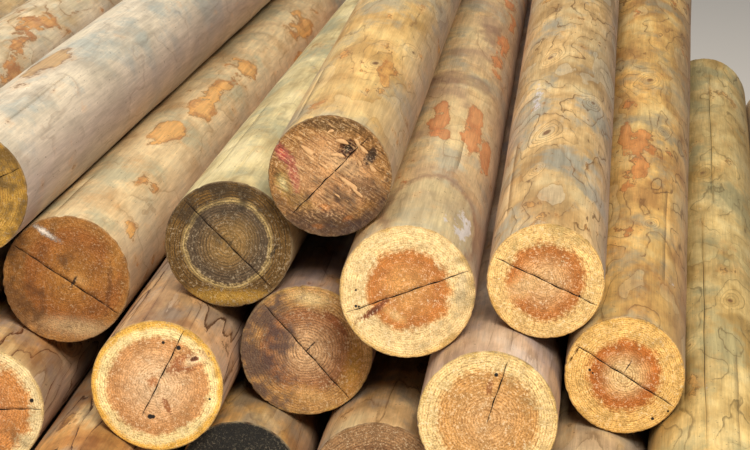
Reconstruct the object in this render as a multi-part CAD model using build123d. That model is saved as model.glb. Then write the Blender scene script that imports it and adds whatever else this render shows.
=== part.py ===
from build123d import *

import math
import os
from dataclasses import dataclass
from itertools import product

# A loose stack of peeled round logs, sawn square at both ends.
# X runs across the stack, Y along the logs from the front ends to the back ends, and Z up.
# The origin lies on the ground, under the middle of the stack.

# Every log, in millimetres: its length, and the diameter that each log's own two are given from
log_length = 2400.0
pole_diameter = 130.0
edge_wear = 1.5
seat_clearance = 0.3

# Drying cracks that run over the pith of each sawn end
crack_width = 2.2
crack_depth = 32.0
crack_tip_width = 0.4
crack_tip_share = 0.7
crack_rim = 1.5

# How finely the places where logs touch are looked for along a log, and how far past its ends one still counts
contact_steps = 28
end_margin = 1.0

# How far a log is rolled sideways at a time while it settles, and the least drop that counts
first_roll = 4.0
last_roll = 0.02
least_drop = 0.002


@dataclass
class Crack:
    """A crack on a sawn end: its slope, and its reach each way from the pith as shares of the flat end's radius."""
    slope: float
    low_reach: float = 1.0
    high_reach: float = 1.0


@dataclass
class Log:
    """One log: its size, its place in the stack and the cracks on its two ends."""
    name: str
    front_diameter: float
    back_diameter: float
    setback: float
    front_crack: Crack
    back_crack: Crack
    left: str = ""
    right: str = ""
    front_gap: float = 0.0
    back_gap: float = 0.0
    front_x: float = 0.0
    back_x: float = 0.0
    front_z: float = 0.0
    back_z: float = 0.0

    def share(self, y):
        """How far along the log the plane at y cuts it, from 0 at its front end to 1 at its back end."""
        return (y - self.setback) / log_length

    def radius(self, y):
        """Half the thickness at y: an even taper from the front end to the back end."""
        share = min(max(self.share(y), 0.0), 1.0)
        return (self.front_diameter * (1 - share) + self.back_diameter * share) / 2

    def centre(self, y):
        """The middle of the log's section at y, on the straight line between the two stations."""
        share = y / log_length
        x = self.front_x * (1 - share) + self.back_x * share
        z = self.front_z * (1 - share) + self.back_z * share
        return x, z

    def reach(self, y):
        """Half the width of the section at y, a little more than the radius where the log lies askew."""
        askew = math.hypot(self.back_x - self.front_x, self.back_z - self.front_z, log_length) / log_length
        return self.radius(y) * askew

    def spans(self, y):
        return self.setback - end_margin <= y <= self.setback + log_length + end_margin


def ground_log(name, front_extra, back_extra, setback, gaps, cracks):
    """A log on the ground, with the gaps at front and back to the ground log, or the stack's edge, at its left."""
    front_diameter = pole_diameter + front_extra
    back_diameter = pole_diameter + back_extra
    return Log(name, front_diameter, back_diameter, setback, *cracks, front_gap=gaps[0], back_gap=gaps[1])


def upper_log(name, front_extra, back_extra, setback, supports, cracks):
    """A log that lies in the hollow between two lower ones."""
    front_diameter = pole_diameter + front_extra
    back_diameter = pole_diameter + back_extra
    return Log(name, front_diameter, back_diameter, setback, *cracks, *supports)


# The ground row from left to right: how much thicker than the pole diameter a log is at front and back,
# the setback of its front end, the gaps at its left, and its cracks
ground_row = [
    ground_log("ground_row_log_1", -4, -3, 24, (0, 28), (Crack(62), Crack(-15))),
    ground_log("ground_row_log_2", 2, 1, -18, (1, 1), (Crack(-20), Crack(40))),
    ground_log("ground_row_log_3", 0, -3, 32, (29, 19), (Crack(15), Crack(70))),
    ground_log("ground_row_log_4", -6, -4, -130, (103, 134), (Crack(-55), Crack(8))),
    ground_log("ground_row_log_5", -5, -14, -15, (24, 1), (Crack(35), Crack(-48))),
    ground_log("ground_row_log_6", 7, -5, -53, (9, 28), (Crack(-12, 1, 0.2), Crack(22))),
    ground_log("ground_row_log_7", -8, 18, -130, (74, 72), (Crack(48), Crack(-66))),
    ground_log("ground_row_log_8", 2, 2, -380, (122, 123), (Crack(-38), Crack(30))),
]

# The rows above it, each log with the log that it leans on at its left and at its right
upper_rows = [
    upper_log("wedged_log", -4, 2, -400, ("ground_row_log_7", "ground_row_log_8"), (Crack(-70), Crack(12))),
    upper_log("second_row_log_1", 0, 1, 40, ("ground_row_log_1", "ground_row_log_2"), (Crack(-62), Crack(25))),
    upper_log("second_row_log_2", 2, 0, -26, ("ground_row_log_2", "ground_row_log_3"), (Crack(18), Crack(-42))),
    upper_log("second_row_log_3", -2, 0, 13, ("ground_row_log_3", "ground_row_log_4"), (Crack(1), Crack(58))),
    upper_log("second_row_log_4", 2, -7, -45, ("ground_row_log_4", "ground_row_log_5"),
              (Crack(64, 0.52, 1), Crack(-8))),
    upper_log("second_row_log_5", 5, -10, 63, ("ground_row_log_5", "ground_row_log_6"), (Crack(-48), Crack(36))),
    upper_log("second_row_log_6", 7, 14, -90, ("ground_row_log_6", "ground_row_log_7"),
              (Crack(72, 0.05, 0.92), Crack(-27))),
    upper_log("second_row_log_7", -11, 13, -12, ("ground_row_log_7", "wedged_log"), (Crack(-32), Crack(14))),
    upper_log("third_row_log_1", 0, 1, 15, ("second_row_log_1", "second_row_log_2"), (Crack(44), Crack(-5))),
    upper_log("third_row_log_2", -2, -1, -35, ("second_row_log_2", "second_row_log_3"), (Crack(-18), Crack(66))),
    upper_log("third_row_log_3", 4, -9, 119, ("second_row_log_3", "second_row_log_4"), (Crack(-33), Crack(50))),
    upper_log("third_row_log_4", 0, -10, 65, ("second_row_log_4", "second_row_log_5"), (Crack(-45), Crack(9))),
    upper_log("third_row_log_5", 4, 0, -23, ("second_row_log_5", "second_row_log_6"), (Crack(20), Crack(-35))),
    upper_log("third_row_log_6", -13, 6, -1, ("second_row_log_6", "second_row_log_7"), (Crack(-25), Crack(60))),
    upper_log("top_row_log_1", -6, -5, -15, ("third_row_log_1", "third_row_log_2"), (Crack(30), Crack(-20))),
    upper_log("top_row_log_2", 0, 12, 28, ("third_row_log_2", "third_row_log_3"), (Crack(26), Crack(-52))),
    upper_log("top_row_log_3", -6, -5, 35, ("third_row_log_4", "third_row_log_5"),
              (Crack(46, 0.93, 0.91), Crack(3))),
]

front_station = 0.0
back_station = log_length


def place_on_ground(left, log, gap, y):
    """Where a ground log's middle comes at y, with a gap between its side and the log or edge at its left."""
    if left is None:
        return gap + log.radius(y)
    apart = left.radius(y) + log.radius(y) + gap + seat_clearance
    step = left.radius(y) - log.radius(y)
    return left.centre(y)[0] + math.sqrt(apart ** 2 - step ** 2)


def hollow_between(left, right, log, y):
    """Where a log's middle comes in the hollow between two others, in the plane at y."""
    left_x, left_z = left.centre(y)
    right_x, right_z = right.centre(y)
    to_left = left.reach(y) + log.radius(y) + seat_clearance
    to_right = right.reach(y) + log.radius(y) + seat_clearance
    apart = math.hypot(right_x - left_x, right_z - left_z)
    if apart >= to_left + to_right:
        return (left_x + right_x) / 2
    along = (apart ** 2 + to_left ** 2 - to_right ** 2) / (2 * apart)
    above = math.sqrt(max(to_left ** 2 - along ** 2, 0.0))
    return left_x + (along * (right_x - left_x) - above * (right_z - left_z)) / apart


def lowest_middle(log, laid, y):
    """The lowest height that the log's straight line can have at y, over the ground and the logs laid before it."""
    x = log.centre(y)[0]
    heights = [log.reach(y)]
    for other in laid:
        if other.spans(y) and log.spans(y):
            other_x, other_z = other.centre(y)
            apart = log.reach(y) + other.reach(y) + seat_clearance
            sideways = abs(x - other_x)
            if sideways < apart:
                heights.append(other_z + math.sqrt(apart ** 2 - sideways ** 2))
    return max(heights)


def let_down(log, laid):
    """Let the log down until it lies on its highest two contacts, one on each side of its middle."""
    start = log.setback
    middle = start + log_length / 2
    stations = {start + log_length * step / contact_steps for step in range(contact_steps + 1)}
    for other in laid:
        stations |= {y for y in (other.setback, other.setback + log_length) if log.spans(y)}
    heights = {y: lowest_middle(log, laid, y) for y in stations}

    def line_height(pair, y):
        front, back = pair
        return heights[front] + (heights[back] - heights[front]) * (y - front) / (back - front)

    pairs = product([y for y in stations if y < middle], [y for y in stations if y > middle])
    contacts = max(pairs, key=lambda pair: line_height(pair, middle))
    log.front_z = line_height(contacts, front_station)
    log.back_z = line_height(contacts, back_station)
    return line_height(contacts, middle)


def settle(log, laid):
    """Roll the log sideways, a little at each end, for as long as that brings it lower."""
    near = [other for other in laid if may_touch(log, other)]
    lowest = let_down(log, near)
    step = first_roll
    while step > last_roll:
        best = None
        for front_step, back_step in product((-step, 0, step), repeat=2):
            log.front_x += front_step
            log.back_x += back_step
            height = let_down(log, near)
            if height < lowest - step * least_drop:
                lowest = height
                best = (front_step, back_step)
            log.front_x -= front_step
            log.back_x -= back_step
        if best:
            log.front_x += best[0]
            log.back_x += best[1]
        else:
            step /= 2
    let_down(log, near)


def may_touch(log, other):
    """Whether two logs lie near enough in plan to touch, also after some rolling."""
    apart = log.radius(0) + other.radius(0) + 4 * first_roll
    return min(abs(log.front_x - other.front_x), abs(log.back_x - other.back_x)) < apart


def lay_stack():
    """Place the ground row from its gaps, then each upper log in its hollow, and return all logs by name."""
    logs = {}
    previous = None
    for log in ground_row:
        log.front_x = place_on_ground(previous, log, log.front_gap, front_station)
        log.back_x = place_on_ground(previous, log, log.back_gap, back_station)
        let_down(log, [])
        logs[log.name] = log
        previous = log
    for log in upper_rows:
        left, right = logs[log.left], logs[log.right]
        log.front_x = hollow_between(left, right, log, front_station)
        log.back_x = hollow_between(left, right, log, back_station)
        settle(log, logs.values())
        logs[log.name] = log
    return logs


def cut_crack(solid, crack, radius, end_plane):
    """Cut a drying crack into a sawn end, widest at the face and closing inwards."""
    flat_radius = radius - edge_wear - crack_rim
    low = -crack.low_reach * flat_radius
    high = crack.high_reach * flat_radius
    length = high - low
    tip = length * crack_tip_share
    wedge = Wedge(
        length, crack_depth, crack_width,
        (length - tip) / 2, (crack_width - crack_tip_width) / 2,
        (length + tip) / 2, (crack_width + crack_tip_width) / 2,
        align=(Align.CENTER, Align.MIN, Align.CENTER),
    )
    slope = math.radians(crack.slope)
    along = end_plane.x_dir * math.cos(slope) + end_plane.y_dir * math.sin(slope)
    inward = -end_plane.z_dir
    middle = end_plane.origin + along * ((low + high) / 2)
    across = along.cross(inward)
    return solid - Plane(origin=middle, x_dir=along, z_dir=across) * wedge


def make_log(log):
    """One log: a tapered pole with worn rims, and a crack over the pith of each sawn end."""
    front_y = log.setback
    back_y = log.setback + log_length
    front_radius = log.radius(front_y)
    back_radius = log.radius(back_y)
    side = Spline(
        (front_radius, edge_wear),
        (log.radius((front_y + back_y) / 2), log_length / 2),
        (back_radius, log_length - edge_wear),
    )
    ends = Polyline(
        (front_radius, edge_wear),
        (front_radius - edge_wear, 0),
        (0, 0),
        (0, log_length),
        (back_radius - edge_wear, log_length),
        (back_radius, log_length - edge_wear),
    )
    front_x, front_z = log.centre(front_y)
    back_x, back_z = log.centre(back_y)
    front_middle = Vector(front_x, front_y, front_z)
    direction = (Vector(back_x, back_y, back_z) - front_middle).normalized()
    back_middle = front_middle + direction * log_length
    level = (Vector(1, 0, 0) - direction * direction.X).normalized()
    pole = revolve(make_face(Plane.XZ * (side + ends)), Axis.Z)
    body = Plane(origin=front_middle, x_dir=level, z_dir=direction) * pole
    front_plane = Plane(origin=front_middle, x_dir=level, z_dir=direction * -1)
    back_plane = Plane(origin=back_middle, x_dir=level * -1, z_dir=direction)
    body = cut_crack(body, log.front_crack, front_radius, front_plane)
    body = cut_crack(body, log.back_crack, back_radius, back_plane)
    return body


logs = lay_stack()
solids = {name: make_log(log) for name, log in logs.items()}

boxes = [solid.bounding_box() for solid in solids.values()]
left_side = min(box.min.X for box in boxes)
right_side = max(box.max.X for box in boxes)
front_side = min(box.min.Y for box in boxes)
back_side = max(box.max.Y for box in boxes)
ground = min(box.min.Z for box in boxes)
to_origin = Location((-(left_side + right_side) / 2, -(front_side + back_side) / 2, -ground))

os.makedirs("parts", exist_ok=True)
for name, solid in solids.items():
    placed = to_origin * solid
    placed.label = name
    export_step(placed, f"parts/{name}.step")
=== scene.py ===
# %% [markdown]
# # A loose stack of peeled logs
# Twenty-five debarked softwood poles lie in rows, each in the hollow between two below it. The CAD part gives every
# pole as a plain tapered solid. This lesson dresses each one: a peeled side with knots, stains and drying splits, and
# two sawn ends with growth rings and a crack over the pith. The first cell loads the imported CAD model, which stays the
# frame that everything else is built around.

# %% Load the frame
from dataclasses import dataclass, field

import bmesh
import bpy
import numpy as np
from mathutils import Matrix, Vector


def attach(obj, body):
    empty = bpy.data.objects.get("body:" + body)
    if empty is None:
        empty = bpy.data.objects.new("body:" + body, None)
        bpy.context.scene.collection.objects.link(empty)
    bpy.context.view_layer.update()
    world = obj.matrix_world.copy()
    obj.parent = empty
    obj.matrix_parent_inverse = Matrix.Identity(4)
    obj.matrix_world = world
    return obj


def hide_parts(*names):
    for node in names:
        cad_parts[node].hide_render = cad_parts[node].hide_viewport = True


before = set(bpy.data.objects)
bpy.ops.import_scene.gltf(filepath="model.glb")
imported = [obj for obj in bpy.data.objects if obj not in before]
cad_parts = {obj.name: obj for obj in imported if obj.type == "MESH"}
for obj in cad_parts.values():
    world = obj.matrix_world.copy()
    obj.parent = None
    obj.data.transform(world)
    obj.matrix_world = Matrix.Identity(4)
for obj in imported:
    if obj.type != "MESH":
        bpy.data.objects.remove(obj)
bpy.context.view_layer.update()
print("CAD nodes:", len(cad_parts))

# %% [markdown]
# Blender works in metres here, while a sawmill thinks in millimetres, so one value turns one into the other. Colours
# are picked as sRGB hex values, as on any colour chart. Blender's sockets take linear light, so one function converts.

# %% Units and colours
MM = 0.001


def linear(hex_colour):
    """An sRGB hex colour as the linear RGBA that Blender's sockets take."""
    channels = [int(hex_colour[start:start + 2], 16) / 255 for start in (1, 3, 5)]
    return [c / 12.92 if c <= 0.04045 else ((c + 0.055) / 1.055) ** 2.4 for c in channels] + [1.0]


print("Cream sapwood in linear light:", [round(c, 3) for c in linear("#E3C27E")])

# %% [markdown]
# The stack was photographed from close in front and a little above, with a long lens, so the poles' lines hardly run
# together. A camera is an object that looks along its own -Z. Tilting it up by 90 degrees less the pitch and turning it
# by the yaw points it along the poles. The lens in millimetres follows from the focal length in pixels and the width of
# the picture, because Blender's sensor is 36 mm wide.

# %% Camera
PICTURE_WIDTH = 750
FOCAL_PIXELS = 3300.0
SENSOR_WIDTH = 36.0
CAMERA_YAW = np.radians(4.17)
CAMERA_PITCH = np.radians(11.97)
CAMERA_DISTANCE = 3.222
AIM = Vector((0.151, -1.0595, 0.322))

forward = Vector((
    -np.sin(CAMERA_YAW) * np.cos(CAMERA_PITCH),
    np.cos(CAMERA_YAW) * np.cos(CAMERA_PITCH),
    -np.sin(CAMERA_PITCH),
))
lens = bpy.data.cameras.new("stack_camera")
lens.lens = FOCAL_PIXELS / PICTURE_WIDTH * SENSOR_WIDTH
lens.sensor_width = SENSOR_WIDTH
camera = bpy.data.objects.new("stack_camera", lens)
camera.location = AIM - forward * CAMERA_DISTANCE
camera.rotation_euler = (np.pi / 2 - CAMERA_PITCH, 0, CAMERA_YAW)
bpy.context.scene.collection.objects.link(camera)
bpy.context.scene.camera = camera
bpy.context.scene.view_settings.view_transform = "Standard"
print("Lens:", round(lens.lens, 1), "mm, camera at", [round(c, 3) for c in camera.location])

# %% [markdown]
# A shader is a small network of nodes. Building one in code repeats three things: make a node, set its properties, and
# fill its sockets with values or with what feeds them. One function does all three, for every kind of node.

# %% Node helper
COLOUR_RESULT = 2


def add(tree, kind, inputs=None, **settings):
    """Add a node with its settings. Inputs maps a socket's name or number to a value, a node or another socket."""
    node = tree.nodes.new("ShaderNode" + kind)
    for name, value in settings.items():
        setattr(node, name, value)
    for key, value in (inputs or {}).items():
        if isinstance(value, bpy.types.Node):
            mixes_colours = value.bl_idname == "ShaderNodeMix" and value.data_type == "RGBA"
            value = value.outputs[COLOUR_RESULT if mixes_colours else 0]
        if isinstance(value, bpy.types.NodeSocket):
            tree.links.new(value, node.inputs[key])
        else:
            node.inputs[key].default_value = value
    return node


def new_material(name):
    """An empty node material and its tree, with the output node in place."""
    material = bpy.data.materials.new(name)
    material.use_nodes = True
    material.node_tree.nodes.clear()
    add(material.node_tree, "OutputMaterial")
    return material, material.node_tree


def finish_material(tree, colour, roughness, normal, ior):
    """Close a material with the Principled shader: a colour, a roughness, a normal and one index of refraction."""
    shader = add(tree, "BsdfPrincipled", {"Base Color": colour, "Roughness": roughness, "Normal": normal, "IOR": ior})
    tree.links.new(shader.outputs[0], tree.nodes["Material Output"].inputs["Surface"])


# %% [markdown]
# The stage is a wide pale floor under plain soft light, as in a product studio. The floor is matt, so that it takes the
# stack's shadow without mirroring it. A big lamp high in front works as a soft box and gives the ends and the tops of
# the poles their light, and a second one at the side fills the shadows. The world adds a little light from all around.

# %% Floor, lamps and world
FLOOR_REACH = 9.0
FLOOR_COLOUR = "#D9D6D0"
WORLD_LIGHT = 0.21

floor_mesh = bpy.data.meshes.new("studio_floor")
floor_corners = [(-FLOOR_REACH, -FLOOR_REACH, 0), (FLOOR_REACH, -FLOOR_REACH, 0),
                 (FLOOR_REACH, FLOOR_REACH, 0), (-FLOOR_REACH, FLOOR_REACH, 0)]
floor_mesh.from_pydata(floor_corners, [], [(0, 1, 2, 3)])
floor = bpy.data.objects.new("studio_floor", floor_mesh)
bpy.context.scene.collection.objects.link(floor)
floor_paint, floor_tree = new_material("matt_floor_paint")
floor_shade = add(floor_tree, "TexNoise", {"Scale": 0.6, "Detail": 2.0})
floor_colour = add(floor_tree, "Mix", {0: floor_shade, 6: linear(FLOOR_COLOUR), 7: linear("#E2DFDA")}, data_type="RGBA")
floor_bump = add(floor_tree, "Bump", {"Height": add(floor_tree, "TexNoise", {"Scale": 250.0}), "Distance": 0.0002})
finish_material(floor_tree, floor_colour, 0.85, floor_bump, 1.45)
floor_mesh.materials.append(floor_paint)


def soft_box(name, place, aim, size, power, colour):
    """A square area lamp at a place, turned to face a point."""
    lamp = bpy.data.lights.new(name, "AREA")
    lamp.size = size
    lamp.energy = power
    lamp.color = linear(colour)[:3]
    holder = bpy.data.objects.new(name, lamp)
    holder.location = place
    holder.rotation_euler = (Vector(aim) - Vector(place)).to_track_quat("-Z", "Y").to_euler()
    bpy.context.scene.collection.objects.link(holder)


soft_box("key_soft_box", (0.9, -4.3, 2.7), (0, -0.9, 0.3), 1.5, 200, "#FFF4E4")
soft_box("top_soft_box", (-0.9, 0.4, 3.4), (0, 0, 0.3), 2.0, 75, "#FFF6EA")
world = bpy.data.worlds.new("studio_light")
world.use_nodes = True
world.node_tree.nodes["Background"].inputs["Color"].default_value = linear("#F4F4F6")
world.node_tree.nodes["Background"].inputs["Strength"].default_value = WORLD_LIGHT
bpy.context.scene.world = world
print("Stage is set")

# %% [markdown]
# Each dressed pole has to sit exactly where its CAD solid lies. The solid's mesh tells where that is. The middles of its
# two ends give a first direction. Seen along it, the outermost points near each end form the rim, and the middles of
# the two rims give the pole's axis. So nothing is typed in twice, and a pole that moves in the CAD part takes its
# dressing along.

# %% Find each pole's axis
RIM_WEAR = 1.5 * MM
END_SLICE = 15 * MM
RIM_SLICE = 2 * RIM_WEAR
RING_SHARE = 0.99


def box_middle(points):
    """The middle of the box around some points."""
    return (points.min(0) + points.max(0)) / 2


def rim(points):
    """Middle and radius of the ring of outermost points around one end of a pole."""
    reach = np.linalg.norm(points - box_middle(points), axis=1)
    ring = points[reach > reach.max() * RING_SHARE]
    middle = box_middle(ring)
    return middle, np.linalg.norm(ring - middle, axis=1).mean()


def pole_axis(node):
    """Where a pole's front face is, its length, its two radii, and the matrix that puts local Y along it."""
    points = np.array([vertex.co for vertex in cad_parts[node].data.vertices])
    y = points[:, 1]
    direction = box_middle(points[y > y.max() - END_SLICE]) - box_middle(points[y < y.min() + END_SLICE])
    run = points @ (direction / np.linalg.norm(direction))
    front, front_radius = rim(points[run < run.min() + RIM_SLICE])
    back, back_radius = rim(points[run > run.max() - RIM_SLICE])
    direction = Vector(back - front).normalized()
    level = (Vector((1, 0, 0)) - direction * direction.x).normalized()
    upright = level.cross(direction)
    start = Vector(front) - direction * RIM_WEAR
    length = (Vector(back) - Vector(front)).length + 2 * RIM_WEAR
    matrix = Matrix((level, direction, upright)).transposed().to_4x4()
    matrix.translation = start
    return matrix, length, front_radius, back_radius


poles = {node: pole_axis(node) for node in sorted(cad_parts)}
lengths = [pole[1] / MM for pole in poles.values()]
print(f"Pole lengths: {min(lengths):.1f} to {max(lengths):.1f} mm")
radii = [radius / MM for pole in poles.values() for radius in pole[2:]]
print(f"End radii: {min(radii):.1f} to {max(radii):.1f} mm")

# %% [markdown]
# No two poles look alike, so each gets its own settings. For the side: the tones of the wood, how much inner bark is
# left as a stain, how strong the growth figure shows, and where knots, stains and long splits are. An angle round the
# pole is counted from its right-hand side over the top, and a distance from its front face in millimetres.

# %% What a peeled side can have


@dataclass
class Side:
    """A peeled side: tones, a stain and its amount, the figure's strength and line colour, and what lies where."""
    wood: str
    shade: str
    grey: str
    stain: str
    stained: float
    figure: float
    line: str
    spots: tuple = ()
    veils: tuple = ()
    knots: tuple = ()
    splits: tuple = ()
    sap: tuple = ()
    # Partly painted light: pale patches that stand for pools of sunlight, partly fresh pale wood.
    fresh_and_sunlit: str = "#F4DCA6"
    damp: str = "#C6BE9A"
    inner: str = "#E6B468"
    # Partly painted shade: the grey pink of the lower flanks, partly grey weathering and partly the cool shade that
    # falls there.
    flank_weather_and_shade: str = "#B89E90"
    run: float = 4.0


@dataclass
class Mark:
    """An almond-shaped mark on a sawn end: place, slant, half length and half width in mm, and two colours."""
    x: float
    z: float
    slant: float
    long_half: float
    short_half: float
    outer: str
    inner: str
    strength: float = 0.85


@dataclass
class End:
    """A sawn end: tones from rim to core, the heart's share, its rings, dirt, marks, holes, torn fibres and pits."""
    rim: str
    band: str
    heart: str
    core: str
    heart_share: float
    late: str
    clearness: float
    dirt: str
    dirty: float
    dirt_from: float = 0.0
    rings: int = 26
    relief: float = 0.4
    pith: tuple = (0.0, 0.0)
    holes: tuple = ()
    marks: tuple = ()
    flecks: float = 0.5
    torn: float = 0.0
    pits: tuple = ()
    splinters: tuple = ()
    band_width: float = 0.25
    ragged: float = 0.34


PALE_END = End("#DDB268", "#E8CC8C", "#BF8040", "#C99A5C", 0.55, "#8A5626", 0.6, "#6B4A2A", 0.2)
SIDE_CREAM = Side("#DCC08C", "#B8976A", "#A89C86", "#B07A3E", 0.15, 0.5, "#7E5A30")

# %% [markdown]
# The table below gives every pole that the camera sees its own look. The other poles share one plain side and one
# plain end.

# %% The sides
SIDES = {
    "top_row_log_2": Side(
        "#E8DAC0", "#C8BCA6", "#B2B6AC", "#86603E", 0.0, 0.08, "#7A5638",
        spots=((95, 440, 26, 190, 1.7), (24, 776, 16, 120, 0.3)), splits=((66, 90, 420, 0.5, 2),), fresh_and_sunlit="#F4E6C8",
        inner="#CDA468", flank_weather_and_shade="#BAA6A6"),
    "third_row_log_3": Side(
        "#EED2A0", "#CDAA78", "#BFB896", "#B87A3A", 0.16, 0.2, "#8E6430",
        spots=((76, 590, 20, 110, 1.6), (64, 850, 22, 150, 1.3), (64, 1150, 26, 220, 1.4), (95, 830, 12, 110, 1.0),
               (45, 1800, 22, 160, 1.2), (12, 1600, 12, 90, 1.2)),
        splits=((104, 40, 260, 0.5, 2),), fresh_and_sunlit="#F8E2B0", inner="#ECB05C", flank_weather_and_shade="#B8A092"),
    "third_row_log_4": Side(
        "#DCCB94", "#B6A06C", "#A8A684", "#A8823C", 0.05, 0.12, "#80663A",
        spots=((118, 900, 18, 150, 0.5),), splits=((113, 90, 520, 0.8, 4), (88, 30, 200, 0.5, 2)), fresh_and_sunlit="#F4E4B0",
        flank_weather_and_shade="#A89478"),
    "top_row_log_3": Side(
        "#F0C87E", "#CAA05A", "#B4A888", "#B87834", 0.28, 0.55, "#86602E",
        spots=((95, 330, 20, 160, 0.8), (55, 380, 16, 140, 0.7), (110, 60, 14, 90, 0.5)),
        knots=((72, 330, 12), (40, 520, 10)), splits=((128, 40, 360, 0.5, 2),), fresh_and_sunlit="#FBDC92", inner="#EDB45E"),
    "third_row_log_5": Side(
        "#E8C68C", "#BC9870", "#B4AC92", "#C8743A", 0.14, 0.3, "#8E5E34",
        spots=((90, 600, 13, 130, 1.65), (54, 590, 16, 150, 1.75), (80, 495, 6, 40, 1.7), (33, 560, 10, 160, 1.3),
               (40, 1250, 14, 240, 1.1), (34, 1600, 16, 200, 1.2)),
        veils=((70, 90, 62, 200, 1.0), (80, 880, 70, 80, 0.55), (60, 1300, 30, 120, 0.5)),
        splits=((60, 330, 520, 0.5, 2),), sap=((42, 110, 15, 75, 1.0), (60, 70, 6, 40, 0.8)), fresh_and_sunlit="#FAE0A4",
        damp="#BCB28C", inner="#DC8C4E", flank_weather_and_shade="#AE8E84"),
    "third_row_log_6": Side(
        "#E6C284", "#BE985E", "#A8A694", "#B8823E", 0.15, 0.85, "#74501E",
        knots=((101, 457, 15), (107, 949, 13), (107, 270, 7), (52, 700, 10)), splits=((138, 120, 480, 0.5, 2),),
        sap=((118, 700, 9, 110, 0.75),), fresh_and_sunlit="#F8E0A6", flank_weather_and_shade="#B4988A"),
    "second_row_log_7": Side(
        "#ECBE6C", "#BC8C4A", "#A89A78", "#B8702E", 0.24, 0.75, "#744C1A",
        spots=((105, 914, 9, 110, 1.4), (84, 790, 18, 160, 1.0), (100, 360, 12, 110, 0.6)),
        knots=((80, 1260, 16), (60, 952, 8), (70, 420, 8)), splits=((52, 200, 640, 0.6, 3),), fresh_and_sunlit="#FADC94",
        inner="#D88A42", flank_weather_and_shade="#AC8C78"),
    "wedged_log": Side(
        "#E6C882", "#BC9A56", "#B2A878", "#A67A34", 0.12, 0.6, "#66501E",
        knots=((96, 1500, 14), (70, 820, 12), (112, 620, 10)),
        splits=((84, 1380, 2280, 1.6, 7), (97, 180, 1240, 1.5, 7), (116, 420, 760, 0.8, 3), (66, 240, 600, 0.7, 3)),
        fresh_and_sunlit="#F6E0A0", flank_weather_and_shade="#A8946A"),
    "second_row_log_5": Side(
        "#B89A80", "#8E6E5A", "#988888", "#7A5244", 0.3, 0.4, "#6B4A38", splits=((80, 20, 180, 0.6, 3),),
        fresh_and_sunlit="#CDB8A4"),
    "second_row_log_4": Side(
        "#DAB07C", "#A67A50", "#A08C78", "#7E4E26", 0.25, 1.0, "#57351A", knots=((64, 160, 12),),
        splits=((120, 30, 240, 0.6, 2),), run=16.0),
    "second_row_log_6": Side(
        "#DABC9C", "#B2947C", "#B2A4A2", "#9A7650", 0.15, 0.4, "#7C5C44", splits=((72, 10, 160, 0.6, 3),),
        fresh_and_sunlit="#E8D6C2", run=10.0),
    "second_row_log_3": Side(
        "#F0CC90", "#C0905C", "#AC9A8C", "#9A642E", 0.2, 1.0, "#6E4020", knots=((24, 180, 12),), run=7.0),
    "ground_row_log_5": Side("#E4B262", "#AE7E42", "#94846C", "#8A5A2A", 0.2, 0.6, "#6E4A20", run=8.0),
    "ground_row_log_6": Side("#E6C08A", "#AE8854", "#9A8C7C", "#8A5E30", 0.2, 0.7, "#6E4C26", run=8.0),
    "ground_row_log_4": Side("#D09C5A", "#98622E", "#9C8C78", "#6E4020", 0.35, 1.0, "#4E2C14", run=12.0),
    "ground_row_log_7": Side("#D0B68C", "#AE9270", "#9C948A", "#8A6A44", 0.15, 0.5, "#705A3A"),
    "top_row_log_1": Side(
        "#EAD8B4", "#C6AE84", "#BCB8A2", "#A86830", 0.34, 0.7, "#8E5E28",
        spots=((63, 944, 18, 150, 0.8), (37, 708, 16, 140, 0.7)), fresh_and_sunlit="#F4E4B4", inner="#D89A50", flank_weather_and_shade="#B4A29C"),
}
print("Sides described:", len(SIDES))
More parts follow.
